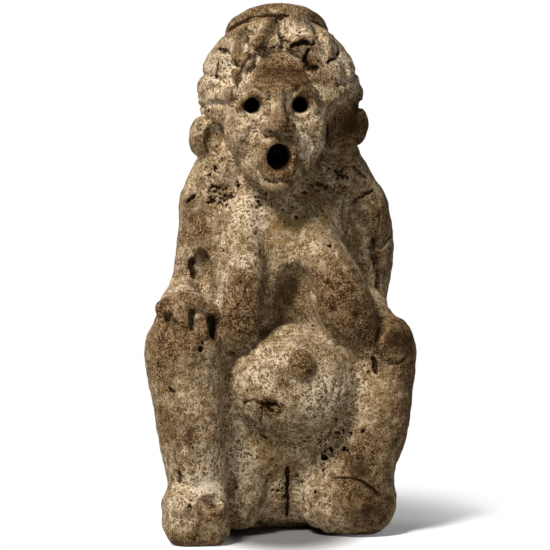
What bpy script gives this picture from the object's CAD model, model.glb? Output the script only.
import math
from functools import reduce

import bpy
import numpy as np
import openvdb
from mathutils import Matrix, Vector


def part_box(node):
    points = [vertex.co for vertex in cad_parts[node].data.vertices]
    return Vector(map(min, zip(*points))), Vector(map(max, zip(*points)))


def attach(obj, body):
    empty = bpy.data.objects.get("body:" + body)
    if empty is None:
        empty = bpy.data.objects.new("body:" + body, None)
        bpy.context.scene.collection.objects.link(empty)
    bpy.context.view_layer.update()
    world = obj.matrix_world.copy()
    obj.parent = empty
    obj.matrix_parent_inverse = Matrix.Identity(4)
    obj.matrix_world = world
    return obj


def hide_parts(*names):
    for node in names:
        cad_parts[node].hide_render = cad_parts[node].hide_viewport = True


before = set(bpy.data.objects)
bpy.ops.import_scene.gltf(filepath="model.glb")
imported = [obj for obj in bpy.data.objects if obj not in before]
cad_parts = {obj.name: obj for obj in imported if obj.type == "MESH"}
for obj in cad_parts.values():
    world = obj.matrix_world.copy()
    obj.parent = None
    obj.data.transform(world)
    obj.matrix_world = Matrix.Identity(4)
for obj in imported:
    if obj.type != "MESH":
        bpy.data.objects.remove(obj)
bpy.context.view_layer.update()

# the clay is worked in millimetres about the neck's axis, and the frame says where that axis stands
millimetre = 0.001
slabMiddleY = 7.0
slabLow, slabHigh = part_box("base_slab")
toMiddle = 0.5 / millimetre  # turns the sum of two sides into their middle
originX = (slabLow.x + slabHigh.x) * toMiddle
originY = (slabLow.y + slabHigh.y) * toMiddle - slabMiddleY
originShift = np.array([originX, originY, 0.0])

clayBlock = {
    "low": (-62, -58, -2),
    "high": (62, 49, 215),
    "step": 0.5,  # between the points of the block
    "quickStep": 0.8,
    "margin": 8.2,  # how far round a form it is worked out
    "far": 8.0,
    "sink": 0.6,  # how fast a piece dives under its neighbour past their joint
    "overlap": 1.5,
    "shrink": 0.8,  # takes back what the soft joints add
    "thinning": {"body_front": 0.48, "body_back": 0.5},  # share of the faces that stays
    "thinned": {"pastJoint": 0.6, "toHollow": 1.0},  # what counts as hidden, and is thinned
}


def softMin(a, b, width):
    if width <= 0:
        return np.minimum(a, b)
    near = np.maximum(width - np.abs(a - b), 0) / width
    return np.minimum(a, b) - near * near * (width * 0.25)


def softMax(a, b, width):
    return -softMin(-a, -b, width)


def through(stations, steps=4):  # points on a smooth curve through the stations
    rows = [np.array(s, float) for s in stations]
    rows = [2 * rows[0] - rows[1], *rows, 2 * rows[-1] - rows[-2]]
    points = []
    for a, b, c, d in zip(rows, rows[1:], rows[2:], rows[3:]):
        for k in range(steps):
            t = k / steps
            bend = (c - a) * t + (2 * a - 5 * b + 4 * c - d) * t**2 + (3 * b - a - 3 * c + d) * t**3
            points.append(b + 0.5 * bend)
    return [*points, rows[-2]]


class Ball:  # egg of clay, turned about the upright axis
    def __init__(self, centre, radii, yaw=0.0):
        self.centre, self.yaw = np.array(centre, np.float32), yaw
        self.radii = np.array(radii, np.float32) * np.ones(3, np.float32)
        reach = self.radii.max() if yaw else self.radii
        self.low, self.high = self.centre - reach, self.centre + reach

    def away(self, x, y, z):
        x, y, z = x - self.centre[0], y - self.centre[1], z - self.centre[2]
        if self.yaw:
            c, s = math.cos(self.yaw), math.sin(self.yaw)
            x, y = c * x + s * y, c * y - s * x
        rx, ry, rz = self.radii
        near = np.sqrt((x / rx) ** 2 + (y / ry) ** 2 + (z / rz) ** 2)
        slope = np.sqrt((x / rx**2) ** 2 + (y / ry**2) ** 2 + (z / rz**2) ** 2)
        return near * (near - 1) / np.maximum(slope, 1e-6)


class Stretch:  # one stretch of a roll between two (x, y, z, radius) stations
    def __init__(self, start, end):
        self.start, self.end = np.array(start, np.float32), np.array(end, np.float32)
        self.low = np.minimum(self.start[:3] - self.start[3], self.end[:3] - self.end[3])
        self.high = np.maximum(self.start[:3] + self.start[3], self.end[:3] + self.end[3])

    def away(self, x, y, z):
        ax, ay, az, ar = self.start
        dx, dy, dz, dr = self.end - self.start
        x, y, z = x - ax, y - ay, z - az
        t = np.clip((x * dx + y * dy + z * dz) / max(dx * dx + dy * dy + dz * dz, 1e-6), 0, 1)
        return np.sqrt((x - t * dx) ** 2 + (y - t * dy) ** 2 + (z - t * dz) ** 2) - (ar + t * dr)


def roundedBox(past, rounding):  # past: how far a point lies beyond each side of the box's core
    outside = np.sqrt(sum(np.maximum(v, 0) ** 2 for v in past))
    return outside + np.minimum(reduce(np.maximum, past), 0) - rounding


class Block:  # box with rounded edges
    def __init__(self, low, high, rounding):
        self.low, self.high = np.array(low, np.float32), np.array(high, np.float32)
        self.rounding = rounding

    def away(self, x, y, z):
        half = (self.high - self.low) / 2 - self.rounding
        middle = (self.high + self.low) / 2
        return roundedBox([np.abs(v - m) - h for v, m, h in zip((x, y, z), middle, half)], self.rounding)


class Cake:  # flat rounded block that lies on a surface, turned about its own upright
    def __init__(self, centre, facing, half, rounding, twist):
        self.centre, self.half, self.rounding = np.array(centre, np.float32), half, rounding
        rise = np.array((0, 0, 1.0)) - facing * facing[2]
        rise /= max(np.linalg.norm(rise), 1e-6)
        side = np.cross(rise, facing)
        c, s = math.cos(twist), math.sin(twist)
        self.axes = [v.astype(np.float32) for v in (side * c + rise * s, rise * c - side * s, facing)]
        reach = math.sqrt(sum(h * h for h in half))
        self.low, self.high = self.centre - reach, self.centre + reach

    def away(self, x, y, z):
        x, y, z = x - self.centre[0], y - self.centre[1], z - self.centre[2]
        along = [np.abs(x * a[0] + y * a[1] + z * a[2]) for a in self.axes]
        return roundedBox([v - h + self.rounding for v, h in zip(along, self.half)], self.rounding)


class Trunk:  # hollow body: level sections, rounded ovals
    def __init__(self, sections, wall, low, high, power=2.3):
        rows = np.array(through(sections, 6))
        self.z, self.half = rows[:, 0], rows[:, 1] - wall
        self.front, self.back = rows[:, 2] + wall, rows[:, 3] - wall
        self.bottom, self.top, self.power = low, high, power
        self.low = np.array([-self.half.max(), self.front.min(), low], np.float32)
        self.high = np.array([self.half.max(), self.back.max(), high], np.float32)

    def away(self, x, y, z):
        level, power = z.ravel(), self.power
        rows = (self.half, self.front, self.back)
        half, front, back = (np.interp(level, self.z, row).astype(np.float32) for row in rows)
        y = y - ((front + back) / 2)[None, None, :]
        depth = ((back - front) / 2)[None, None, :]
        around = (np.abs(x / half[None, None, :]) ** power + np.abs(y / depth) ** power) ** (1 / power)
        reach = np.sqrt(x * x + y * y)
        side = 0.96 * reach * (1 - 1 / np.maximum(around, 0.05))
        return softMax(side, np.maximum(self.bottom - z, z - self.top) + 0 * side, 3.0)


class Ring:  # roll bent into an upright ring that faces the front
    def __init__(self, centre, radius, roll, stretch, yaw):
        self.centre, self.radius, self.roll = np.array(centre, np.float32), radius, roll
        self.stretch, self.yaw = stretch, yaw
        reach = (radius + roll) * max(1, stretch)
        self.low, self.high = self.centre - reach, self.centre + reach

    def away(self, x, y, z):
        x, y, z = x - self.centre[0], y - self.centre[1], (z - self.centre[2]) / self.stretch
        c, s = math.cos(self.yaw), math.sin(self.yaw)
        x, y = c * x + s * y, c * y - s * x
        return np.sqrt((np.sqrt(x * x + z * z) - self.radius) ** 2 + y * y) - self.roll


class Shaft:  # straight round or oval shaft along Y, or a tilted round one
    def __init__(self, start, end, radii):
        self.start, self.end = np.array(start, np.float32), np.array(end, np.float32)
        self.radii = np.array(radii, np.float32) * np.ones(2, np.float32)
        reach = self.radii.max()
        self.low = np.minimum(self.start, self.end) - reach
        self.high = np.maximum(self.start, self.end) + reach

    def away(self, x, y, z):
        axis = self.end - self.start
        length = np.linalg.norm(axis)
        axis = axis / length
        x, y, z = x - self.start[0], y - self.start[1], z - self.start[2]
        along = x * axis[0] + y * axis[1] + z * axis[2]
        if self.radii[0] == self.radii[1]:
            off = np.sqrt(np.maximum(x * x + y * y + z * z - along**2, 0)) - self.radii[0]
        else:
            rx, rz = self.radii
            off = (np.sqrt((x / rx) ** 2 + (z / rz) ** 2) - 1) * min(rx, rz) + 0 * y
        return np.maximum(off, np.maximum(-along, along - length))


class Band:  # turned band about a leaning axis, with a rounded rim
    def __init__(self, centre, axis, inner, outer, foot, top, rounding):
        self.centre, self.axis = np.array(centre, np.float32), np.array(axis, np.float32)
        self.inner, self.outer, self.foot, self.top, self.rounding = inner, outer, foot, top, rounding
        middle = self.centre + self.axis * (foot + top) / 2
        self.low, self.high = middle - outer - 2, middle + outer + 2

    def away(self, x, y, z):
        x, y, z = x - self.centre[0], y - self.centre[1], z - self.centre[2]
        up = x * self.axis[0] + y * self.axis[1] + z * self.axis[2]
        out = np.sqrt(np.maximum(x * x + y * y + z * z - up**2, 0))
        a = np.abs(out - (self.inner + self.outer) / 2) - (self.outer - self.inner) / 2 + self.rounding
        b = np.abs(up - (self.foot + self.top) / 2) - (self.top - self.foot) / 2 + self.rounding
        return roundedBox((a, b), self.rounding)


class Cut:  # a form cut off by a plane, with the edge rounded over
    def __init__(self, form, point, facing, rounding):
        self.form, self.point, self.facing, self.rounding = form, point, facing, rounding
        self.low, self.high = form.low, form.high

    def away(self, x, y, z):
        (px, py, pz), (nx, ny, nz) = self.point, self.facing
        plane = (x - px) * nx + (y - py) * ny + (z - pz) * nz
        return softMax(self.form.away(x, y, z), plane.astype(np.float32), self.rounding)


class Arch:  # pointed window for the face, taken out of other forms
    def __init__(self, rows):
        self.z, self.half = np.array(rows).T

    def away(self, x, y, z):
        half = np.interp(z.ravel(), self.z, self.half).astype(np.float32)[None, None, :]
        middle = onHead((faceForm["middle"], 0, 150))
        across = math.cos(turn) * (x - middle[0]) + math.sin(turn) * (y - middle[1])
        return (np.abs(across) - half) * 0.85


class Without:  # one form with another taken out of it
    def __init__(self, form, taken, rounding):
        self.form, self.taken, self.rounding = form, taken, rounding
        self.low, self.high = form.low, form.high

    def away(self, x, y, z):
        return softMax(self.form.away(x, y, z), -self.taken.away(x, y, z), self.rounding)


def chain(rows):
    return [Stretch(a, b) for a, b in zip(rows, rows[1:])]


def rollOf(stations):
    return chain(through(stations))


# how unsteady a groove is drawn, and how far earth reaches round a mark
toolHand = {"wander": 0.22, "uneven": (0.7, 1.2), "ends": 0.4, "grooveEarth": 0.4, "dentEarth": 0.3}


class Clay:  # the vessel as signed distances on an even lattice, with what each piece claims of it
    def __init__(self, step):
        self.step, self.low = step, np.array(clayBlock["low"], float)
        count = np.ceil((np.array(clayBlock["high"]) - self.low) / step).astype(int) + 1
        self.axes = [(self.low[k] + step * np.arange(count[k])).astype(np.float32) for k in range(3)]
        self.skin = np.full(count, clayBlock["far"], np.float32)
        self.nearest, self.second = self.skin.copy(), self.skin.copy()
        self.owner = np.full(count, -1, np.int8)
        self.dirt = np.zeros(count, np.float32)
        self.dice = np.random.default_rng(5)
        self.claims = {}

    def window(self, low, high, margin):
        first = np.floor((np.array(low) - margin - self.low) / self.step).astype(int)
        last = np.ceil((np.array(high) + margin - self.low) / self.step).astype(int) + 1
        size = self.skin.shape
        return tuple(slice(max(0, a), min(n, b)) for a, b, n in zip(first, last, size))

    def grid(self, window):
        x, y, z = (axis[part] for axis, part in zip(self.axes, window))
        return x[:, None, None], y[None, :, None], z[None, None, :]

    def gather(self, forms, inner):
        margin = clayBlock["margin"]
        low = np.min([f.low for f in forms], axis=0)
        high = np.max([f.high for f in forms], axis=0)
        whole = self.window(low, high, margin)
        field = np.full([s.stop - s.start for s in whole], clayBlock["far"], np.float32)
        for form in forms:
            part = self.window(form.low, form.high, margin)
            inside = tuple(slice(p.start - w.start, p.stop - w.start) for p, w in zip(part, whole))
            field[inside] = softMin(field[inside], form.away(*self.grid(part)), inner)
        return whole, field

    def lay(self, name, forms, blend, inner=1.5, seam=None):
        window, field = self.gather(forms, inner)
        self.skin[window] = softMin(self.skin[window], field, blend)
        if seam is None:
            self.claim(name, window, field)
        else:
            for half, side in zip(name, (seam(*self.grid(window)), -seam(*self.grid(window)))):
                self.claim(half, window, np.maximum(field, side))

    def claim(self, name, window, field):
        near, second, owner = self.nearest[window], self.second[window], self.owner[window]
        closer = field < near
        second[:] = np.where(closer, near, np.minimum(second, field))
        owner[closer] = len(self.claims)
        near[:] = np.minimum(near, field)
        self.claims[name] = (window, field)

    def press(self, forms, blend):
        for form in forms:
            part = self.window(form.low, form.high, blend + 1)
            self.skin[part] = softMax(self.skin[part], -form.away(*self.grid(part)), blend)

    def soil(self, forms, reach, strength):  # earth left in and around a mark
        for form in forms:
            part = self.window(form.low, form.high, reach + 1)
            layer = strength * np.clip(1 - form.away(*self.grid(part)) / reach, 0, 1)
            self.dirt[part] = np.maximum(self.dirt[part], layer)

    def build(self, forms, blend):
        for form in forms:
            part = self.window(form.low, form.high, blend + 1)
            self.skin[part] = softMin(self.skin[part], form.away(*self.grid(part)), blend)

    def read(self, field, points):  # values between the lattice points
        q = (np.asarray(points, float) - self.low) / self.step
        q = np.clip(q, 0, np.array(field.shape) - 1.001)
        i = q.astype(int)
        f = q - i
        total = 0.0
        for corner in range(8):
            bits = [(corner >> k) & 1 for k in range(3)]
            weight = np.prod([f[:, k] if bits[k] else 1 - f[:, k] for k in range(3)], axis=0)
            total = total + weight * field[i[:, 0] + bits[0], i[:, 1] + bits[1], i[:, 2] + bits[2]]
        return total

    def outward(self, points):
        reach = np.eye(3) * 0.8
        slope = [self.read(self.skin, points + r) - self.read(self.skin, points - r) for r in reach]
        slope = np.stack(slope, 1)
        return slope / np.maximum(np.linalg.norm(slope, axis=1, keepdims=True), 1e-6)

    def snap(self, points):  # moves points on to the skin
        points = np.array(points, float)
        for _ in range(6):
            gap = np.clip(self.read(self.skin, points), -2, 2)[:, None]
            points = points - gap * self.outward(points) * 0.9
        return points

    def groove(self, points, width, depth, blend, dirt=0.0):
        path = np.array(through(points, 5))
        path = self.snap(path + self.dice.normal(0, min(toolHand["wander"], width * 0.2), path.shape))
        uneven = self.dice.uniform(*toolHand["uneven"], len(path))
        uneven[0] = uneven[-1] = toolHand["ends"]
        facing = self.outward(path)
        levels = [width / 2 - depth]
        if depth > width / 2:  # a deep one is pressed in three levels, up to the skin
            levels = np.linspace(width / 2 - depth, 0.0, 3)
        forms = []
        for level in levels:
            forms += chain(np.column_stack([path + facing * level, uneven * width / 2]))
        self.press(forms, blend)
        if dirt:
            self.soil(forms, toolHand["grooveEarth"], dirt)

    def welt(self, points, radius, height, blend):
        path = self.snap(through(points, 5))
        path = path + self.outward(path) * (height - radius)
        self.build(chain(np.column_stack([path, np.full(len(path), radius)])), blend)

    def dent(self, place, radius, depth, blend, dirt=0.0):
        spot = self.snap([place])
        spot = (spot + self.outward(spot) * (radius - depth))[0]
        self.press([Ball(spot, radius)], blend)
        if dirt:
            self.soil([Ball(spot, radius)], toolHand["dentEarth"], dirt)

    def noise(self, size, seed):  # smooth even noise on the whole lattice, by cubic splines
        count = [int(n * self.step / size) + 5 for n in self.skin.shape]
        field = np.random.default_rng(seed).standard_normal(count).astype(np.float32)
        for axis, n in enumerate(self.skin.shape):
            t = np.arange(n) * self.step / size + 1
            i = t.astype(int)
            f = (t - i).astype(np.float32)
            weights = ((1 - f) ** 3, 3 * f**3 - 6 * f**2 + 4, -3 * f**3 + 3 * f**2 + 3 * f + 1, f**3)
            shape = [n if k == axis else 1 for k in range(3)]
            rows = zip(range(-1, 3), weights)
            field = sum(np.take(field, i + k, axis=axis) * (w / 6).reshape(shape) for k, w in rows)
        return field * 2.0

    def smoothed(self, field, width):  # running mean along each axis
        n = max(1, int(round(width / self.step / 2)))
        for axis in range(3):
            pad = [(n + 1, n) if k == axis else (0, 0) for k in range(3)]
            total = np.cumsum(np.pad(field, pad, mode="edge"), axis=axis, dtype=np.float32)
            size = field.shape[axis]
            upper = np.take(total, np.arange(2 * n + 1, 2 * n + 1 + size), axis=axis)
            lower = np.take(total, np.arange(0, size), axis=axis)
            field = (upper - lower) / (2 * n + 1)
        return field


# head frame: it turns to the figure's right and leans a little
headSet = {"pivot": (0, 1, 150), "turn": math.radians(-5), "tilt": math.radians(-0.5)}


def onHead(point):
    pivot = np.array(headSet["pivot"], float)
    x, y, z = np.array(point[:3], float) - pivot
    c, s = math.cos(headSet["tilt"]), math.sin(headSet["tilt"])
    x, z = c * x + s * z, c * z - s * x
    c, s = math.cos(headSet["turn"]), math.sin(headSet["turn"])
    placed = pivot + np.array([c * x - s * y, s * x + c * y, z])
    return (*placed, *point[3:])


def headBall(centre, radii):
    return Ball(onHead(centre), radii, headSet["turn"])


def headRoll(stations):
    return rollOf([onHead(s) for s in stations])


step = clayBlock["step"]
clay = Clay(step)
print("clay block", clay.skin.shape)

# hollow body and the slab under it
bodyForm = {
    "sections": (  # height, half width, front, back
        (5, 31, -19, 31), (12, 36, -23.5, 37), (28, 38.5, -26, 41), (50, 38, -26.5, 41),
        (75, 35.5, -26, 38.5), (98, 34, -25.5, 36), (118, 34.5, -24.5, 35.5), (131, 33, -22.5, 34),
        (141, 28.5, -19, 30), (150, 24, -15, 25),
    ),
    "bottom": 4.0,
    "top": 150,
    "wall": 7.0,
    "hollow": (8.0, 152),  # its bottom and top
    "seamY": 6.0,
    "slab": ((-27.5, -14.5, -5), (27.5, 28.5, 9), 4.0),
}
trunk = Trunk(bodyForm["sections"], 0, bodyForm["bottom"], bodyForm["top"])
clay.lay(
    ("body_front", "body_back"), [trunk], blend=0.5,
    seam=lambda x, y, z: y - bodyForm["seamY"] + 0 * x + 0 * z,
)
clay.lay("base_slab", [Block(*bodyForm["slab"])], blend=6.0)

# hollow head
headForm = {
    "skull": ((1.5, 1, 174.5), (27.5, 31, 29.5)),
    "face": ((-1, -14, 169), (21.5, 21, 25)),
    "jaw": ((-1, -20, 154), (15.5, 15, 11.5)),
    "hollow": ((1, -3, 174), (20.5, 23.5, 23)),
    "neck": ((0, 3, 132), (0, 3, 168), 14.0),
    "blend": 4.0,
}
headMasses = [headBall(*headForm[k]) for k in ("skull", "face", "jaw")]
seamPoint = np.array(onHead((0, 0, 174)))
turn = headSet["turn"]
clay.lay(
    ("face_front", "head_back"), headMasses, blend=2.5, inner=headForm["blend"],
    seam=lambda x, y, z: -math.sin(turn) * (x - seamPoint[0]) + math.cos(turn) * (y - seamPoint[1]) + 0 * z,
)

# filling collar, leaning back on the crown
collarForm = {
    "lean": math.radians(35), "bore": 13.0, "radius": 20.3, "foot": 18.0, "top": 30.4, "rounding": 2.6,
}
lean = collarForm["lean"]
crown = np.array(onHead(headForm["skull"][0]))
axisPoint = np.array(headForm["skull"][0]) + np.array([0, math.sin(lean), math.cos(lean)])
collarAxis = np.array(onHead(axisPoint)) - crown
collarSizes = [collarForm[k] for k in ("bore", "radius", "foot", "top", "rounding")]
collar = Band(crown, collarAxis, *collarSizes)
clay.lay("filling_collar", [collar], blend=0.8)

# nose, eye rims and lips
faceForm = {
    "middle": -1.0, "eyeSpread": 9.6, "eyeZ": 172.5, "eyeHole": 3.0, "mouthZ": 152.5, "mouthHole": (4.6, 5.2),
    "nose": ((-1, -32.5, 178, 1.8), (-1, -35, 171.5, 2.6), (-1, -37, 166, 4.0)),
    "eyeRim": (4.5, 1.7, 1.0), "eyeRimY": -31.5,  # radius, thickness, height to width
    "lipRoll": (6.0, 2.2, 1.13), "lipY": -35.5,
}
clay.lay("nose", headRoll(faceForm["nose"]), blend=1.5)
for side, name in ((-1, "right_eye_rim"), (1, "left_eye_rim")):
    place = onHead((faceForm["middle"] + side * faceForm["eyeSpread"], faceForm["eyeRimY"], faceForm["eyeZ"]))
    clay.lay(name, [Ring(place, *faceForm["eyeRim"], turn)], blend=0.8)
lipPlace = onHead((faceForm["middle"], faceForm["lipY"], faceForm["mouthZ"]))
clay.lay("lip_ring", [Ring(lipPlace, *faceForm["lipRoll"], turn)], blend=1.0)

# belly, navel boss and breasts
frontForm = {
    "belly": ((3.6, -23, 60.8), (28.6, 22.5, 23.8)),
    "navel": ((4, -42, 69.5), (6, 4.6, 7)),
    "right_breast": (
        (-16, -17, 126, 7.5), (-17.5, -23.5, 112, 9), (-18, -28.5, 98, 9.8), (-19.5, -29, 86, 9.4),
        (-22, -25, 76, 6.5),
    ),
    "left_breast": (
        (10, -16.5, 124, 7), (15, -22.5, 111, 10.5), (20, -27, 98, 13), (24.5, -27, 86, 12.5),
        (27.5, -23, 75, 8.5),
    ),
}
clay.lay("belly", [Ball(*frontForm["belly"])], blend=2.0)
clay.lay("navel_boss", [Ball(*frontForm["navel"])], blend=2.5)
for name in ("right_breast", "left_breast"):
    clay.lay(name, rollOf(frontForm[name]), blend=6.0)

# legs, feet and arms
limbForm = {
    "right_thigh": ((-24, 14, 30, 18), (-34.5, -8, 56, 17.5), (-40.5, -27, 77, 15.5)),
    "left_thigh": ((24, 14, 30, 18), (33.5, -2, 54, 17), (38.8, -17, 74, 14.3)),
    "right_shin": ((-41, -31, 72, 14.5), (-39.2, -33, 48, 13.8), (-35.5, -33, 22, 12.6)),
    "left_shin": ((37.8, -21, 70, 14.5), (36.6, -26, 46, 14), (29.5, -29, 22, 12)),
    "right_upper_arm": ((-27.8, 2, 129, 10), (-30.6, 4, 113, 9.5), (-33.5, 6, 98, 8.5)),
    "left_upper_arm": ((36, 2, 127, 10.5), (38.5, 4, 112, 9.8), (38.5, 6, 96, 8.8)),
    "right_forearm": ((-35.5, 3, 95, 8), (-39.5, -14, 91, 9), (-42.5, -28, 86.5, 10)),
    "left_forearm": ((37.5, 3, 91, 8), (37.5, -9, 87, 7), (38, -18, 83, 7.5)),
}
limbBlend = {
    "thigh": 5.0, "shin": 8.0, "upper_arm": 5.0, "forearm": 3.0, "left_foot": 10.0, "right_foot": 6.0,
}
footForm = {
    "left_foot": ((13.5, -41.2, -1.2), (44.5, -11, 26.5), 13.8),
    "right_foot": ((-50.5, -52, -2.5), (-24, -20, 22), 9.5),
}


def layLimbs(*parts):
    for part in parts:
        for side in ("right", "left"):
            clay.lay(f"{side}_{part}", rollOf(limbForm[f"{side}_{part}"]), limbBlend[part])


layLimbs("thigh", "shin")
for name, form in footForm.items():
    clay.lay(name, [Block(*form)], limbBlend[name])
layLimbs("upper_arm", "forearm")

# ear lumps, nape roll and rolled locks
hairForm = {
    "angles": (13, 38, 63, 86), "radii": (7.6, 6.8, 5.8, 5.4), "lifts": (-3.0, -1.8, -1.0, -0.2),
    "startY": -17.0, "endYs": (-6, 0, 13, 15), "taper": 0.25,
    "ears": {"right": ((-27, -8, 158.5), (8, 8.5, 9.5)), "left": ((27, -7, 162), (8, 8.5, 9.2))},
    "nape": ((-25, 3, 144, 8), (-21, 19, 150, 6.5), (0, 29, 153, 6.5), (22, 19, 150, 6.5), (29, 4, 143, 8.5)),
}
for side, (centre, radii) in hairForm["ears"].items():
    clay.lay(f"{side}_ear_lump", [headBall(centre, radii)], blend=1.5)
clay.lay("nape_roll", headRoll(hairForm["nape"]), blend=5.0)
(skullX, skullY, skullZ), (skullA, skullB, skullC) = headForm["skull"]
for side, name in ((-1, "right"), (1, "left")):
    rows = zip(hairForm["angles"], hairForm["radii"], hairForm["lifts"], hairForm["endYs"])
    for k, (degrees, radius, lift, endY) in enumerate(rows, 1):
        angle = math.radians(degrees)
        stations = []
        for share in (0, 0.33, 0.67, 1):
            y = hairForm["startY"] + share * (endY - hairForm["startY"])
            level = math.sqrt(1 - ((y - skullY) / skullB) ** 2)
            across = (skullA * level + lift) * math.sin(angle) * side
            up = (skullC * level + lift) * math.cos(angle)
            stations.append((skullX + across, y, skullZ + up, radius * (1 - hairForm["taper"] * share)))
        clay.lay(f"{name}_lock_{k}", headRoll(stations), blend=1.2)
clay.skin += clayBlock["shrink"]

# clay worked in between the pieces: cheeks and jaw, the mass of the hair, neck, legs and back
filling = {
    "cheeks": (
        ((-1, -20, 161), (20.5, 14, 15)), ((-1, -22, 148.5), (14.5, 12.5, 11)),
        ((-12.5, -26, 162), (8, 7, 9)), ((10.5, -26, 162), (8, 7, 9)),
    ),
    "jaw": (  # height, half width
        (100, -9), (136.5, -3), (138, 4), (141, 9.5), (145, 14), (150, 17.5), (156, 20), (163, 21.5),
        (175, 22),
    ),
    "recess": ((-45, -60, 120), (45, 10, 167.5), (0, -9, 170), (0, 0.93, -0.37)),  # box, plane behind it
    "cap": ((1.5, 1, 174.5), (32.2, 33.5, 31.6)),  # mass of the hair
    "capFront": -25.0,
    "face": (  # height, half width
        (140, 22), (155, 22), (165, 19.8), (173, 17.4), (178, 15.8), (184, 13.8), (189, 11.4), (193, 7.6),
        (195, 3.5), (196.5, -2), (215, -16),
    ),
    "neck": (
        ((-20, -3, 154, 6.5), (-22, -4, 145, 7.5), (-24, -3, 135, 8)),
        ((22, -2, 156, 6.5), (24, -3, 146, 7.5), (26, -2, 135, 8)),
        ((-22, 3, 151, 5), (-24, 3, 141, 6.5), (-28, 3, 131, 8.5)),
        ((24, 4, 153, 5), (27, 3, 143, 6.5), (33, 2, 131, 9)),
    ),
    "knob": ((42.2, -25.5, 77.5), (8.6, 7.5, 9.5)),
    "lap": ((4, -18, 42), (24, 15, 20)),
    "legs": (
        ((-30, -21, 68, 7), (-26.5, -20, 48, 9), (-23, -18, 20, 9)),
        ((30, -20, 62, 8), (28, -20, 42, 9.5), (23, -18, 20, 9)),
        ((19, -17.5, 34, 9), (19, -22.5, 22, 9), (18, -24, 10, 8)),
        ((-19, -16, 34, 8), (-19, -19, 22, 8.5), (-20, -20, 10, 8)),
    ),
    "chest": (((3, -31.5, 92), (9, 14.5, 18)), ((4.5, -31, 84), (8, 13.5, 9))),  # hollow between the breasts
    "back": (
        ((-26, 12, 130, 4), (-28, 12.5, 104, 5), (-30, 12, 80, 5.5), (-31, 12, 55, 6.5)),
        ((29, 12, 130, 4), (31, 12.5, 104, 5), (32, 12, 80, 5.5), (31, 12, 55, 6.5)),
    ),
    "earDiscs": (((-26.8, -7.5, 158.5), (7.6, 6, 9.8)), ((28.2, -8, 162.8), (7.6, 5, 9.3))),
    "earHollow": ((-24.6, -15.3, 158.8), (5.4, 3.9, 7.0)),
}
front = (math.sin(turn), -math.cos(turn), 0.0)
for stations in filling["neck"]:
    clay.build(rollOf(stations), blend=5.0)
clay.build([headBall(*form) for form in filling["cheeks"]], blend=5.0)
low, high, point, facing = filling["recess"]
beside = Cut(Block(low, high, 1.0), point, facing, 2.0)
clay.press([Without(beside, Arch(filling["jaw"]), 1.0)], blend=2.0)
cap = Cut(headBall(*filling["cap"]), onHead((0, filling["capFront"], 174)), front, 2.4)
clay.build([Without(cap, Arch(filling["face"]), 0.7)], blend=0.5)
for stations in filling["legs"] + filling["back"]:
    clay.build(rollOf(stations), blend=7.0)
clay.build([Ball(*filling["lap"])], blend=6.0)
clay.press([Ball(*form) for form in filling["chest"]], blend=3.0)
clay.build([Ball(*frontForm["belly"])], blend=1.2)
clay.build([Ball(*filling["knob"])], blend=3.0)
clay.build([Ball(*frontForm["navel"])], blend=1.2)
clay.build([headBall(*form) for form in filling["earDiscs"]], blend=0.8)
clay.press([headBall(*filling["earHollow"])], blend=1.4)
print("forms laid", len(clay.claims))

# blocks of hair, partings between them and the undercut along the filling collar
hairMarks = {
    "blocks": (  # place, half width, half height, height over the hair, twist, rounding
        ((-8.5, -17, 198.6), 6.2, 6.2, 1.9, 6, 1.2), ((6.4, -15, 198.6), 6.0, 6.0, 1.8, -8, 1.2),
        ((-18.1, -15.1, 193.9), 5.8, 6.6, 1.6, 14, 1.8), ((-24, -14, 184.5), 5.0, 6.4, 1.2, 6, 2.2),
        ((-29.5, -4.8, 178), 6.5, 4.4, 0.8, 0, 3.4), ((-31, -6, 169.8), 6.5, 4.8, 0.8, -4, 3.6),
        ((8.5, -21.5, 195), 4.6, 3.8, 1.9, 30, 1.4), ((18, -15, 193.5), 6.2, 6.6, 0.9, -16, 2.6),
        ((25.5, -13, 183.5), 6.2, 6.0, 0.8, -8, 3.2), ((30, -6, 174), 6, 5.2, 0.7, 0, 3.6),
        ((-15.3, -21.4, 189.5), 3.2, 3.4, 1.4, 20, 1.6), ((-17.5, -22.5, 183.5), 3.2, 3.4, 1.4, 10, 1.8),
        ((-20, -22.5, 177), 3.4, 3.4, 1.1, 5, 2.0),
    ),
    "thick": 4.0,
    "partings": (25.5, 50.5, 74.5, 97),  # degrees from the crown
    "bends": ((0, -24), (2, -15), (-1, -7), (1, 5), (0, 14)),  # degrees off the parting, y
    "upperTo": 60,  # partings above this stop short
    "upperLines": ((2.2, 1.2, 0.4), (0.9, 1.0, 0.2, 0.8)),  # width, depth, softness, earth
    "lowerLines": ((4.0, 0.8, 1.0, 0.2),),
    "middle": ((1.5, -25), (2.5, -17), (0.5, -10), (1.5, -5)),
    "middleLines": ((3.4, 2.6, 0.5), (1.5, 1.6, 0.2, 0.9)),
    "undercut": (21.5, 23.8, 1.7),  # radius, height, width
    "rough": (3.2, 0.1),  # size and height of the lumps
    "roughFrom": ((168, 12), (-27, 4)),  # z and y at which they start, and over how much they come in
}


def onCap(degrees, y):
    (cx, cy, cz), (rx, ry, rz) = filling["cap"]
    level = math.sqrt(max(0.0, 1 - ((y - cy) / ry) ** 2))
    a = math.radians(degrees)
    return onHead((cx + rx * level * math.sin(a), y, cz + rz * level * math.cos(a)))


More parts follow.
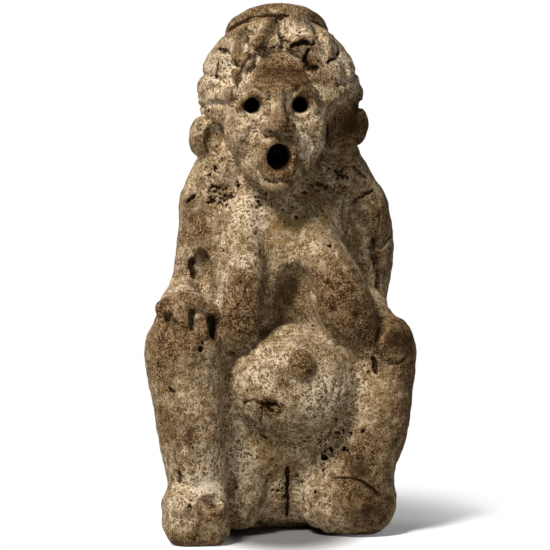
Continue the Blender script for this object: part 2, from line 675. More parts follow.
thick = hairMarks["thick"]
for place, wide, tall, height, twist, rounding in hairMarks["blocks"]:
    spot = clay.snap([place])
    facing = clay.outward(spot)[0]
    middle = spot[0] + facing * (height - thick)
    clay.build([Cake(middle, facing, (wide, tall, thick), rounding, math.radians(twist))], rounding * 0.25)
for side in (-1, 1):
    for degrees in hairMarks["partings"]:
        upper = degrees < hairMarks["upperTo"]
        bends = hairMarks["bends"][:3] if upper else hairMarks["bends"]
        path = [onCap(side * degrees + bend, y) for bend, y in bends]
        for sizes in hairMarks["upperLines" if upper else "lowerLines"]:
            clay.groove(path, *sizes)
for sizes in hairMarks["middleLines"]:
    clay.groove([onCap(degrees, y) for degrees, y in hairMarks["middle"]], *sizes)
radius, height, width = hairMarks["undercut"]
leftward = np.cross((0, 0, 1), collarAxis)
leftward /= np.linalg.norm(leftward)
forward = np.cross(collarAxis, leftward)
ring = []
for degrees in range(-90, 91, 10):
    a = math.radians(degrees)
    spot = crown + collarAxis * height + (leftward * math.sin(a) + forward * math.cos(a)) * radius
    uneven = clay.dice.uniform(0.75, 1.2)
    taper = 0.4 if abs(degrees) == 90 else 1
    ring.append((*spot, width * uneven * (1 + abs(degrees) / 140) * taper))
clay.press(chain(ring), blend=0.4)
clay.soil(chain(ring), reach=0.8, strength=0.8)
clay.build([collar], blend=0.3)
print("hair worked")

size, height = hairMarks["rough"]
(fromZ, overZ), (fromY, overY) = hairMarks["roughFrom"]
aboveBrow = np.clip((clay.axes[2] - fromZ) / overZ, 0, 1)[None, None, :]
behindFace = np.clip((clay.axes[1] - fromY) / overY, 0, 1)[None, :, None]
clay.skin += clay.noise(size, seed=60) * height * aboveBrow * behindFace


def proudness(width):  # how far the skin stands proud of what is round it
    return clay.smoothed(clay.smoothed(clay.skin, width), width) - clay.skin


# a firmer modelling of every form
firmness = {"width": 9.0, "strength": 0.6, "limit": 1.3}
swell = proudness(firmness["width"]) * firmness["strength"]
clay.skin -= np.clip(swell, -firmness["limit"], firmness["limit"])

# low lumps of hand-pressed clay: size, height
handMarks = {"broad": (11.0, 0.22), "finger": (4.5, 0.16), "grain": (1.8, 0.16)}
for seed, (size, height) in enumerate(handMarks.values(), 40):
    clay.skin += clay.noise(size, seed) * height

# face: brows, lids, nose wings, folds and lips, mirrored about its middle
faceMarks = {
    # place, radius, depth, softness, earth
    "socket": ((9.6, -33, 173), 8.0, 2.9, 2.0),
    "nostril": ((2.3, -40.5, 162), 1.2, 1.4, 0.3, 0.8),
    # path, radius, height, softness
    "brow": (((2.4, -34.5, 178.5), (9.5, -34, 182), (17.0, -29, 177.5)), 2.6, 2.0, 1.0),
    "upperLid": (((3.8, -33, 171.4), (9.6, -33, 178), (15.2, -30, 171.4)), 1.4, 1.6, 0.4),
    "lowerLid": (((3.8, -33, 171.4), (9.6, -33, 167), (15.2, -30, 171.4)), 1.2, 1.2, 0.4),
    # path, width, depth, softness, earth
    "lidCrease": (((4.2, -33, 174), (9.6, -33, 180), (15.6, -30, 173.6)), 1.2, 0.7, 0.3),
    "wingCrease": (((6.2, -35, 167.5), (7.6, -35, 164.5), (6.0, -35, 161.6)), 1.3, 0.9, 0.3, 0.2),
    "fold": (((8.2, -34, 163.5), (12.2, -32.5, 157.5), (12.2, -31, 150)), 3.0, 0.5, 1.5),
    "lipLine": (((0, -36, 163.2), (0, -37, 161.4), (0, -37.5, 159.6)), 0.9, 0.5, 0.3),
    "chinCrease": (((0, -34, 143.6), (4.5, -34, 144.6), (8, -32, 147.5)), 1.6, 0.9, 0.5, 0.2),
    "wing": ((4.1, -36, 164.2), (3.1, 3.4, 2.9)),
    "chin": ((-1, -31.5, 141.5), (6.5, 5.5, 4.6)),
    "noseForward": 1.6,
    "lipThinner": 0.85,
    "hairEdge": (1.8, 1.2, 0.5), "hairEdgeY": -26, "hairEdgeDirt": {-1: 0.35, 1: 0.2},
}


def onFace(point, side):
    return onHead((faceForm["middle"] + side * point[0], *point[1:]))


def faceLine(tool, key, side):
    path, *sizes = faceMarks[key]
    tool([onFace(q, side) for q in path], *sizes)


def faceDent(key, side):
    place, *sizes = faceMarks[key]
    clay.dent(onFace(place, side), *sizes)


def workFace():
    for side in (-1, 1):
        faceDent("socket", side)
        for key in ("brow", "upperLid", "lowerLid"):
            faceLine(clay.welt, key, side)
        faceLine(clay.groove, "lidCrease", side)
        place, radii = faceMarks["wing"]
        clay.build([Ball(onFace(place, side), radii)], blend=0.7)
        faceLine(clay.groove, "wingCrease", side)
        faceDent("nostril", side)
        faceLine(clay.groove, "fold", side)
    forward = faceMarks["noseForward"]
    clay.build(headRoll([(x, y - forward, z, r) for x, y, z, r in faceForm["nose"]]), blend=0.8)
    clay.build([headBall(*faceMarks["chin"])], blend=1.5)
    for side in (-1, 1):
        faceLine(clay.groove, "chinCrease", side)
    radius, roll, stretch = faceForm["lipRoll"]
    clay.build([Ring(lipPlace, radius, roll * faceMarks["lipThinner"], stretch, turn)], blend=1.6)
    faceLine(clay.groove, "lipLine", 1)
    for side, dirt in faceMarks["hairEdgeDirt"].items():
        rows = filling["face"][2:8]
        edge = [onFace((half, faceMarks["hairEdgeY"], z), side) for z, half in rows]
        clay.groove(edge, *faceMarks["hairEdge"], dirt)


workFace()
print("face worked")

# hollows pressed with a thumb, fingers on the knee and flattened places
pressedMarks = {
    "armpit": ((-31.2, -8, 105), (5.6, 5.5, 8.5)),
    "palm": ((-47, -32, 93, 4.5), (-40.5, -32.5, 94.5, 4.5), (-34, -31, 93, 4), (-28, -30.5, 90.5, 3)),
    "between": ((-31, -34, 84), (2.6, 6.5, 6.5)),  # beside the knee, under the palm
    "fingers": (
        ((-51, -34, 93.5), (-51.3, -36.5, 88.5), (-50.5, -40, 83)),
        ((-42.3, -35.5, 93), (-42.6, -37.5, 88), (-43, -41, 83.5)),
        ((-34.5, -31.6, 92), (-35, -36, 87.5), (-35.5, -40, 82.5)),
    ),
    "flats": (  # place, radius, depth
        ((29.5, -14, 163), 14.0, 0.8), ((43, -33, 78), 18.0, 0.9), ((-33, -50, 17), 6.0, 2.2),
        ((-29, -50, 19), 4.5, 1.8), ((-36.5, -50, 15), 4.5, 1.6), ((-43, -52, 9), 12, 0.9),
        ((-36, -52, 5), 10, 0.7), ((28.5, -38.5, 29), 8.0, 1.8), ((24, -36.5, 27.5), 6.0, 1.6),
        ((32, -40, 26.5), 6.0, 1.3), ((27, -41, 17), 6.0, 1.3), ((33, -41, 11), 11.0, 0.9),
        ((-9.5, -43, 54.6), 5.0, 0.8), ((-6.2, -43, 53.6), 3.0, 0.7), ((-12, -41, 54.8), 3.0, 0.7),
        ((1, -50, 74), 6.0, 0.7), ((-36, -4, 122), 14.0, 0.9), ((34.5, -9, 128), 11.0, 1.2),
    ),
}
clay.build(rollOf(pressedMarks["palm"]), blend=2.0)
clay.press([Ball(*pressedMarks["armpit"])], blend=0.8)
clay.soil([Ball(*pressedMarks["armpit"])], reach=1.0, strength=0.35)
for stations in pressedMarks["fingers"]:
    clay.welt(stations, radius=3.0, height=1.7, blend=0.5)
clay.press([Ball(*pressedMarks["between"])], blend=0.6)
clay.soil([Ball(*pressedMarks["between"])], reach=0.8, strength=0.5)
for mark in pressedMarks["flats"]:
    clay.dent(*mark, blend=0.4)

# cracks, slits and tool lines: path, width, depth, earth in it
cracks = [
    (((-37.4, -3.8, 131.5), (-35.6, -5.2, 133.2), (-33.7, -6.7, 135)), 1.2, 1.4, 1.0),
    (((30.2, -12.8, 146.6), (33.1, -9.9, 143.8), (35.5, -5, 141)), 1.6, 1.6, 0.7),
    (((-33.7, -5.2, 108.7), (-33.7, -4.5, 105.4), (-33.3, -4.7, 101.8)), 2.2, 1.8, 0.9),
    (((29.2, -9.7, 131), (31.3, -8.8, 132.9), (33.8, -6.3, 134.1), (37.5, -3.6, 134.9)), 1.0, 1.2, 0.9),
    (((38.7, -3.8, 134.5), (39.6, -5.6, 132.3), (40.3, -6.1, 130), (41.1, -6.6, 124),
      (40.4, -6.3, 118.7)), 0.8, 0.9, 0.7),
    (((36.5, -5.6, 112.6), (41, -5.3, 112.6), (43.1, -4.8, 113.5), (45, -3.3, 115.7),
      (46.6, -1.2, 117.4)), 1.5, 1.5, 0.6),
    (((38.7, -6.6, 116.3), (38.9, -5.5, 110.5), (41, -3.4, 101.6), (41.4, -4.5, 94)), 2.4, 1.8, 0.8),
    (((-47.4, -38, 91), (-46.9, -41, 86.6), (-45.2, -43.1, 82.5)), 2.4, 2.0, 0.7),
    (((-39.5, -35.2, 92), (-38.6, -38, 88.1), (-37.6, -42.1, 84.2)), 3.4, 3.0, 0.6),
    (((-24.5, -18, 127), (-26, -18, 118), (-27.5, -17, 110)), 6.0, 1.5, 0.0),
    (((30.5, -16, 125), (34, -16, 115), (36.5, -14, 103)), 6.0, 1.5, 0.0),
    (((-47.1, -19.4, 98), (-44.2, -21.4, 98.6), (-40.4, -22.8, 98.4), (-35.1, -17.8, 96.6),
      (-30.7, -9.6, 94)), 2.4, 1.0, 0.2),
    (((-48.9, -43.3, 62.6), (-47.8, -44, 61.6), (-46.7, -44.6, 60.9)), 0.9, 1.2, 1.0),
    (((-22.7, -28.7, 76.4), (-19.3, -30.6, 74.3), (-16.1, -32.9, 77.8), (-13.2, -35, 81.3),
      (-9.9, -33.4, 84.1)), 2.6, 1.3, 0.5),
    (((-18.2, -35.8, 54), (-16.6, -36.5, 55.9), (-15.4, -37.5, 56.1), (-14.2, -39, 57),
      (-13.1, -39.5, 55.6), (-11.6, -40.1, 55.9), (-10.4, -40.8, 54.3)), 0.7, 1.0, 0.7),
    (((-10.8, -40.8, 54.8), (-9, -41.5, 55.6), (-7.7, -42.4, 54.8), (-6.2, -43.2, 55.2),
      (-4.6, -43.7, 53.6)), 1.2, 1.3, 0.75),
    (((-10.3, -40, 54.5), (-11.2, -40, 52.9), (-10.4, -38.5, 50.8), (-11, -37.2, 49),
      (-10.6, -34.7, 46.6)), 0.7, 0.9, 0.7),
    (((-9.4, -41, 54.6), (-8, -41.5, 52.8), (-6.8, -41.5, 52.2)), 1.0, 1.0, 1.0),
    (((-16.1, -35.5, 49.3), (-13.4, -33.3, 46.7), (-10.3, -30.5, 43.6), (-7.1, -27.4, 41.2)),
      1.2, 1.0, 0.7),
    (((12.1, -44.2, 66.2), (14.1, -44.6, 63.4), (14.1, -44.6, 59.5)), 1.0, 0.5, 0.5),
    (((18.3, -42.9, 65), (17, -43.3, 58.3), (13.1, -43.2, 53.3), (7.8, -41.9, 49.2)), 1.6, 0.4, 0.1),
    (((21.2, -41.6, 65.4), (20.4, -41.8, 58.7), (17.4, -41.2, 52.7), (12.7, -38.9, 46.4)), 1.6, 0.4, 0.1),
    (((0.4, -25.3, 30.3), (0.8, -25.2, 27.1), (0.8, -25.1, 24.2), (1.3, -24.8, 20.4), (1.4, -23.8, 16.1),
      (1.6, -22.4, 11.2), (1.5, -19.5, 5.8)), 1.1, 1.6, 1.0),
    (((19.1, -34.4, 23.2), (21.3, -37, 24.2), (23.6, -38.2, 23.4), (25.4, -39.5, 24.4),
      (27.6, -40.1, 23.3), (29.4, -40.4, 22.7), (31, -40.5, 20.9), (32.6, -40.2, 20.2),
      (34.3, -39.9, 17.6)), 0.5, 0.9, 0.8),
    (((-44.8, -42.3, 29.1), (-44.4, -42.5, 26.7), (-44.7, -41.9, 24.6)), 1.3, 1.2, 0.9),
    (((37.3, -30.8, 84), (35.8, -32.8, 79.6), (35.6, -34.1, 75.9), (37.4, -35.1, 72.4),
      (40.6, -35.1, 69.5), (44.4, -34.3, 69.3), (47.9, -32.6, 71.3)), 1.0, 0.8, 0.4),
    (((34.3, -34.7, 72.1), (34.6, -35.7, 68.6), (34.9, -36, 65.9)), 1.6, 1.4, 0.9),
    (((2.4, -24.3, 195), (5.9, -24.7, 196.6), (10.4, -20.6, 197.4), (14, -15.3, 198.2)), 1.8, 2.0, 0.9),
    (((9.8, -21.9, 196.4), (8.9, -25.2, 193.1), (8, -23.8, 190.7), (10.7, -24.1, 188),
      (12.9, -24.9, 186.5)), 1.1, 1.2, 0.9),
    (((18.6, -11.6, 193.7), (20.3, -11, 190.8), (22.5, -9.4, 189.1)), 1.8, 1.4, 0.8),
    (((-24.2, -15.1, 188.8), (-24.8, -16.4, 185.8), (-24.4, -13.6, 181.7)), 1.2, 1.4, 0.9),
]
for path, width, depth, dirt in cracks:
    clay.groove(path, width, depth, blend=0.25, dirt=dirt)

# pits: radius, depth, places
pits = {
    "collar": (0.62, 1.0, (
        (-29.3, -13.1, 137.3), (-27.9, -14.6, 138.6), (-27, -14.2, 136.6), (-25.6, -15.2, 138.3),
        (-24.7, -14.8, 136.2), (-23.6, -15.5, 137.5), (-22.8, -15.2, 135.8), (-21.7, -15.8, 138.3),
        (-20.9, -15.9, 136.3), (-26.2, -13.8, 134.9), (-24.7, -14.1, 134.2), (-23.2, -14.8, 133.8),
        (-22, -15.3, 134.7), (-27.3, -12.6, 133.2), (-25.4, -13.5, 132.1), (-23.9, -14.6, 131.8),
        (-21.8, -16.4, 131.6), (-28.4, -12.5, 134.4), (-19.8, -16.3, 135.5), (-34.6, -3.4, 136.2),
        (-33.4, -7.1, 135.4), (-29, -10.8, 132.2),
    )),
    "chest": (0.55, 0.9, (
        (-11, -18.8, 135.3), (-9.6, -19.9, 133.4), (-8.5, -20.6, 132.3), (-10.5, -20.9, 131.2),
        (3.3, -21.4, 131.4), (15.4, -20.1, 130.6), (16.5, -20.7, 129.5), (18.2, -22.3, 128.1),
        (8.8, -18.9, 136.9), (-0.3, -21.3, 130.3), (-6.8, -20, 134.6), (-24.3, -27.2, 114.6),
        (-23.5, -29.9, 114.2), (-8.8, -28.5, 114.9), (-11.5, -31.2, 113.8), (6.9, -24, 104.7),
        (17.5, -29.7, 114.9), (18.8, -31.1, 113.9), (16.5, -28.4, 115.9),
    )),
    "neck": (0.66, 1.1, (
        (21.9, -14.5, 144.5), (23, -14.7, 143.3), (24.2, -14.7, 144.5), (25.1, -14.5, 142.5),
        (22.7, -14.6, 141.7), (12.3, -16.7, 139.4), (14.5, -15.5, 140), (16.2, -14.8, 139.1),
        (17.9, -14.4, 138.2), (26.1, -13.3, 137.9), (24, -14.1, 138.5), (-26.8, -16, 146.7),
        (-29.4, -14.5, 143.8), (-17.7, -15.4, 140.1),
    )),
    "belly": (0.68, 1.2, (
        (-10.4, -31.1, 44.2), (-7.9, -27.4, 41.6), (-6.1, -26.2, 40.1), (-4.7, -30.1, 41.3),
        (5.2, -33.6, 41), (6.7, -31.5, 39.7), (7.9, -34, 41.4), (12.1, -27.2, 39.4), (13.4, -29.1, 40.5),
        (15.7, -29.8, 38.2), (16.6, -31.7, 40.6), (18.3, -33.8, 42.2), (19.8, -34.3, 41.1),
        (19.3, -36.9, 47.3), (21, -36.3, 47.9), (13.4, -34.4, 42.9), (29.6, -37.5, 42.7),
    )),
    "large": (1.05, 1.8, (
        (24.1, -35.5, 41.6), (21.5, -34.6, 35.9), (18.2, -32.7, 34.9), (15.5, -29.3, 30.8),
        (5.2, -21.8, 127.1), (11.5, -24, 196.9), (-36.5, -44, 77.7),
    )),
    "lap": (0.55, 0.9, (
        (-6, -25.1, 24.4), (-4.7, -24.3, 17.6), (-2.3, -24.5, 17.6), (0.3, -23.4, 14.8),
        (8.2, -24.3, 17.2), (10.4, -25.6, 21.1), (9.3, -25.1, 20.2), (15.3, -30.6, 25.8),
        (14.2, -29.9, 18), (15.6, -31.2, 20.3), (-20.9, -32.2, 23), (-20.4, -31.3, 20.3),
        (-7.9, -24.5, 21.5), (4.8, -25.2, 24.9), (6.8, -25.3, 27.3), (-14.8, -31.2, 33.4),
        (-9.3, -25.8, 39.3), (-40.9, -49.8, 18.9), (-41.4, -50.7, 16.7), (-41.1, -51.2, 14.5),
    )),
}
pitSizes = (0.8, 1.2, 0.9, 1.4, 0.7)  # taken in turn
for radius, depth, places in pits.values():
    for k, place in enumerate(places):
        size = pitSizes[k % len(pitSizes)]
        clay.dent(place, radius * size, depth * size, blend=0.2, dirt=0.9)
        beside = place + clay.dice.normal(0, radius * size, 3)
        clay.dent(beside, radius * size * 0.7, depth * size * 0.7, blend=0.2, dirt=0.8)
print("marks cut")

# ways through: filling bore, hollow head, neck, hollow body, eyes and mouth
wayForm = {
    "boreLength": 60, "faceY": -32, "before": 30,
    "eyeDepth": 18, "mouthDepth": 30,
    "chestWall": 3,  # keeps the wall whole behind the pressed chest
}
inside = Clay(step)
ways = [
    Shaft(crown, crown + collarAxis * wayForm["boreLength"], collarForm["bore"]),
    headBall(*headForm["hollow"]),
    Shaft(onHead(headForm["neck"][0]), onHead(headForm["neck"][1]), headForm["neck"][2]),
    Trunk(bodyForm["sections"], bodyForm["wall"], *bodyForm["hollow"]),
]
middle, spread = faceForm["middle"], faceForm["eyeSpread"]
for x, z, depth, radii in (
    (middle, faceForm["mouthZ"], wayForm["mouthDepth"], faceForm["mouthHole"]),
    (middle - spread, faceForm["eyeZ"], wayForm["eyeDepth"], faceForm["eyeHole"]),
    (middle + spread, faceForm["eyeZ"], wayForm["eyeDepth"], faceForm["eyeHole"]),
):
    start = np.array(onHead((x, wayForm["faceY"], z)))
    ways.append(Shaft(start - (0, wayForm["before"], 0), start + (0, depth, 0), radii))
window, hollow = inside.gather(ways, inner=1.5)
inside.skin[window] = hollow
kept = [Ball(place, np.array(radii) + wayForm["chestWall"]) for place, radii in filling["chest"]]
inside.press(kept, blend=1.0)
hollow = inside.skin
clay.skin = softMax(clay.skin, -hollow, 1.2)
print("hollow cut")

# flat ground, and the front of the base stands clear of it
groundForm = {"clear": ((-23, -45, -6), (15, -9, 2.4), 1.2), "level": 0.05}
clay.press([Block(*groundForm["clear"])], blend=1.5)
clay.skin = np.maximum(clay.skin, groundForm["level"] - clay.axes[2][None, None, :])

wearWidths = {"edges": 2.5, "forms": 8.0}
sharp, broad = (proudness(width) for width in wearWidths.values())
print("surface read")


class Sum:  # a socket that takes part in sums
    def __init__(self, bench, socket):
        self.bench, self.socket = bench, socket

    def sum(self, operation, *values):
        return self.bench.add("ShaderNodeMath", {"operation": operation}, dict(enumerate(values)))

    def __add__(self, other):
        return self.sum("ADD", self, other)

    def __sub__(self, other):
        return self.sum("SUBTRACT", self, other)

    def __rsub__(self, other):
        return self.sum("SUBTRACT", other, self)

    def __mul__(self, other):
        return self.sum("MULTIPLY", self, other)

    __radd__, __rmul__ = __add__, __mul__


class Bench:  # node tree being built
    def __init__(self, tree, prefix):
        self.tree, self.prefix = tree, prefix

    def add(self, kind, settings=None, inputs=None, output=0):
        node = self.tree.nodes.new(kind if "Node" in kind else f"{self.prefix}Node{kind}")
        for key, value in (settings or {}).items():
            if key == "stops":
                ramp = node.color_ramp
                while len(ramp.elements) < len(value):
                    ramp.elements.new(1.0)
                for element, (place, colour) in zip(ramp.elements, value):
                    element.position, element.color = place, (*colour, 1)
            else:
                setattr(node, key, value)
        for key, value in (inputs or {}).items():
            if isinstance(value, Sum):
                self.tree.links.new(value.socket, node.inputs[key])
            else:
                node.inputs[key].default_value = value
        return Sum(self, node.outputs[output])

    def blend(self, share, a, b):
        def colour(value):
            return value if isinstance(value, Sum) else (*value, 1)
        return self.add("ShaderNodeMix", {"data_type": "RGBA"}, {0: share, 6: colour(a), 7: colour(b)}, 2)

    def between(self, value, low, high):
        settings = {"interpolation_type": "SMOOTHSTEP"}
        return self.add("ShaderNodeMapRange", settings, {"Value": value, "From Min": low, "From Max": high})


clayLook = {
    "coat": ((0.25, (0.055, 0.027, 0.008)), (0.48, (0.187, 0.12, 0.051)), (0.75, (0.465, 0.350, 0.203))),
    "bare": (
        (0.24, (0.010, 0.0036, 0.0006)), (0.46, (0.058, 0.026, 0.0075)), (0.62, (0.13, 0.07, 0.026)),
        (0.78, (0.34, 0.23, 0.125)),
    ),
    "fleck": (0.71, 0.58, 0.415),
    "dust": (0.27, 0.185, 0.098),
    "ochre": (0.22, 0.138, 0.046),
    "rust": (0.12, 0.055, 0.014),
    "chalk": (0.58, 0.492, 0.368),
    "umber": (0.07, 0.036, 0.011),
    "pit": (0.02, 0.0085, 0.002),
    "noises": {  # scale, detail, roughness, seed
        "patch": (90, 4, 0.6, 1), "mottle": (330, 4, 0.65, 2), "speck": (1300, 3, 0.75, 3),
        "fine": (2600, 2, 0.6, 4), "cloud": (200, 3, 0.6, 8), "poreGate": (170, 2, 0.5, 6),
    },
    "curls": {  # scale, seed, width
        "rust": (500, 11, 0.05), "fleck": (520, 12, 0.075), "dust": (470, 13, 0.055),
    },
    "pores": ((640.0, 0.14, 0.30, 0.57, 0.66), (330.0, 0.12, 0.26, 0.60, 0.70)),  # scale, edge, gate
    "poreBend": 0.0012,
    "roughness": (0.78, 0.96),
    "specular": 0.06,
    "bump": {"Strength": 0.9, "Distance": 0.0008},
}


def clayMaterial(name):
    material = bpy.data.materials.new(name)
    material.use_nodes = True
    tree = material.node_tree
    shader = tree.nodes["Principled BSDF"]
    shader.inputs["Specular IOR Level"].default_value = clayLook["specular"]
    b = Bench(tree, "Shader")
    spot = b.add("TexCoord", output="Object")

    def noise(scale, detail, rough, seed):
        inputs = {"Vector": spot, "W": seed, "Scale": scale, "Detail": detail, "Roughness": rough}
        return b.add("TexNoise", {"noise_dimensions": "4D"}, inputs)

    def painted(attribute):
        return b.add("Attribute", {"attribute_name": attribute}, output="Fac")

    def curls(key):  # thin curling lines, where a noise passes its middle
        scale, seed, width = clayLook["curls"][key]
        gap = b.add("Math", {"operation": "ABSOLUTE"}, {0: noise(scale, 2.0, 0.6, seed) - 0.5})
        return 1 - b.between(gap, width * 0.3, width)

    noises = {key: noise(*sizes) for key, sizes in clayLook["noises"].items()}
    patch, mottle, speck, fine, cloud, poreGate = noises.values()

    def shaken(value, **shares):  # a value that the noises push up and down
        for key, share in shares.items():
            value = value + (noises[key] - 0.5) * share
        return value

    worn, cavity, pit, inner = (painted(k) for k in ("worn", "cavity", "pit", "inner"))
    stain, chalk, dirt, pitted = (painted(k) for k in ("stain", "chalk", "dirt", "pitted"))
    tone = shaken(0.5, speck=2.2, fine=1.4, mottle=0.8)

    def ramp(key):
        return b.add("ValToRGB", {"stops": clayLook[key]}, {"Fac": tone})

    # the pale coat: ochre stains, rusty and pale curls, chalky places
    ochre = b.between(shaken(stain, patch=1.2, cloud=1.8, speck=1.2), 0.15, 0.7) * 0.7
    coat = b.blend(ochre, ramp("coat"), clayLook["ochre"])
    rust = curls("rust") * b.between(cloud + cavity * 0.3, 0.44, 0.62) * 0.75
    coat = b.blend(rust, coat, clayLook["rust"])
    fleck = curls("fleck") * b.between(patch * 0.5 + mottle * 0.5 + chalk * 0.4, 0.43, 0.60) * 0.7
    coat = b.blend(fleck, coat, clayLook["fleck"])
    pale = b.between(shaken(chalk, patch=0.8, mottle=0.6, speck=1.4), 0.35, 0.8) * 0.7
    coat = b.blend(pale, coat, clayLook["chalk"])

    # the dark body where the coat is lost, and earth in the hollows
    dust = curls("dust") * b.between(mottle, 0.38, 0.6) * 0.5
    bare = b.blend(dust, ramp("bare"), clayLook["dust"])
    loss = shaken(worn - chalk * 0.12, patch=1.1, cloud=1.1, mottle=0.55, speck=1.2)
    colour = b.blend(b.between(loss, 0.30, 0.68), coat, bare)
    umber = b.between(shaken(cavity, mottle=0.5), 0.35, 0.9) * 0.8
    colour = b.blend(umber, colour, clayLook["umber"])

    # pores with wandering edges
    inputs = {"Vector": spot, "Scale": 900.0, "Detail": 1.0}
    wander = b.add("TexNoise", {"noise_dimensions": "3D"}, inputs, "Color")
    bend = (clayLook["poreBend"],) * 3
    bent = b.add("VectorMath", {"operation": "MULTIPLY_ADD"}, {0: wander, 1: bend, 2: spot})
    gate = poreGate + pitted * 0.45 + cavity * 0.1 - worn * 0.13

    def poresOf(scale, low, high, gateLow, gateHigh):
        cell = b.add("TexVoronoi", {}, {"Vector": bent, "Scale": scale, "Randomness": 1.0})
        return (1 - b.between(cell, low, high)) * b.between(gate, gateLow, gateHigh)

    small, large = (poresOf(*sizes) for sizes in clayLook["pores"])
    pore = b.add("Math", {"operation": "MAXIMUM"}, {0: small, 1: large})
    black = b.between(shaken(pit + pore * 0.95 + dirt * 1.1, speck=1.0), 0.35, 0.85)
    colour = b.blend(black, colour, clayLook["pit"])
    colour = b.blend(inner, colour, clayLook["pit"])
    tree.links.new(colour.socket, shader.inputs["Base Color"])

    low, high = clayLook["roughness"]
    rough = low + (high - low) * b.between(mottle, 0.3, 0.7)
    tree.links.new(rough.socket, shader.inputs["Roughness"])
    height = patch * 1.0 + mottle * 1.2 + speck * 0.9 + fine * 0.4 - pore * 0.9 - dirt * 0.6
    bump = b.add("Bump", {}, {**clayLook["bump"], "Height": height}, "Normal")
    tree.links.new(bump.socket, shader.inputs["Normal"])
    return material


weatheredClay = clayMaterial("weatheredClay")

skinTree = {
    "Relief Height": 0.00011, "Relief Size": 0.0022,
    "Pit Depth": 0.0008, "Pit Size": 0.0036, "Pit Share": 0.30,
    "Seed": 3.0,
}
leastPoints = 30.0  # crumbs with fewer are dropped


def weatherTree():
    tree = bpy.data.node_groups.new("weatherSkin", "GeometryNodeTree")
    face = tree.interface
    face.new_socket("Geometry", in_out="INPUT", socket_type="NodeSocketGeometry")
    for label in skinTree:
        face.new_socket(label, in_out="INPUT", socket_type="NodeSocketFloat")
    face.new_socket("Clay", in_out="INPUT", socket_type="NodeSocketMaterial")
    face.new_socket("Geometry", in_out="OUTPUT", socket_type="NodeSocketGeometry")
    shader, b = Bench(tree, "Shader"), Bench(tree, "Geometry")
    inlet = tree.nodes.new("NodeGroupInput")
    given = {s.name: Sum(shader, s) for s in inlet.outputs if s.name}
    place = b.add("InputPosition")
    facing = b.add("InputNormal")
    noise4, cells4 = {"noise_dimensions": "4D"}, {"voronoi_dimensions": "4D"}

    def quotient(top, bottom):
        return shader.add("Math", {"operation": "DIVIDE"}, {0: top, 1: bottom})

    def pattern(kind, size, settings, extra):
        return kind, settings, {"Vector": place, "Scale": quotient(1.0, size), **extra}

    def painted(name):
        return b.add("InputNamedAttribute", {"data_type": "FLOAT"}, {"Name": name})

    inputs = {"W": given["Seed"], "Detail": 3.0, "Roughness": 0.6}
    relief = shader.add(*pattern("TexNoise", given["Relief Size"], noise4, inputs))
    inputs = {"W": given["Seed"] + 7.0, "Detail": 2.0}
    gate = shader.add(*pattern("TexNoise", given["Pit Size"] * 3.5, noise4, inputs))
    cell = pattern("TexVoronoi", given["Pit Size"], cells4, {"W": given["Seed"], "Randomness": 1.0})
    gap = shader.add(*cell)
    dice = b.add("FunctionNodeSeparateColor", {}, {0: shader.add(*cell, "Color")})
    sizeDice = Sum(shader, dice.socket.node.outputs[1])
    cavity, worn = painted("cavity"), painted("worn")
    chosen = given["Pit Share"] + (gate - 0.5) * 1.3 + cavity * 0.25 - worn * 0.12 - dice
    chosen = shader.between(chosen, 0.0, 0.05)
    radius = sizeDice * 0.16 + 0.12
    pit = (1 - shader.between(quotient(gap, radius), 0.35, 1.05)) * chosen
    shift = (relief - 0.5) * given["Relief Height"] * 2.0 - pit * given["Pit Depth"]
    offset = shader.add("VectorMath", {"operation": "SCALE"}, {0: facing, "Scale": shift})
    moved = b.add("SetPosition", {}, {"Geometry": given["Geometry"], "Offset": offset})
    onPoints = {"data_type": "FLOAT", "domain": "POINT"}
    marked = b.add("StoreNamedAttribute", onPoints, {"Geometry": moved, "Name": "pit", "Value": pit})
    island = b.add("InputMeshIsland")
    count = b.add("AccumulateField", onPoints, {0: 1.0, "Group ID": island}, "Total")
    less = {"data_type": "FLOAT", "operation": "LESS_THAN"}
    crumb = b.add("FunctionNodeCompare", less, {0: count, 1: leastPoints})
    whole = b.add("DeleteGeometry", {"domain": "POINT"}, {"Geometry": marked, "Selection": crumb})
    smooth = b.add("SetShadeSmooth", {}, {"Geometry": whole})
    real = b.add("RealizeInstances", {}, {"Geometry": smooth})
    done = b.add("SetMaterial", {}, {"Geometry": real, "Material": given["Clay"]})
    outlet = tree.nodes.new("NodeGroupOutput")
    tree.links.new(done.socket, outlet.inputs[0])
    return tree


weather = weatherTree()
weatherInputs = {s.name: s.identifier for s in weather.interface.items_tree if s.in_out == "INPUT"}

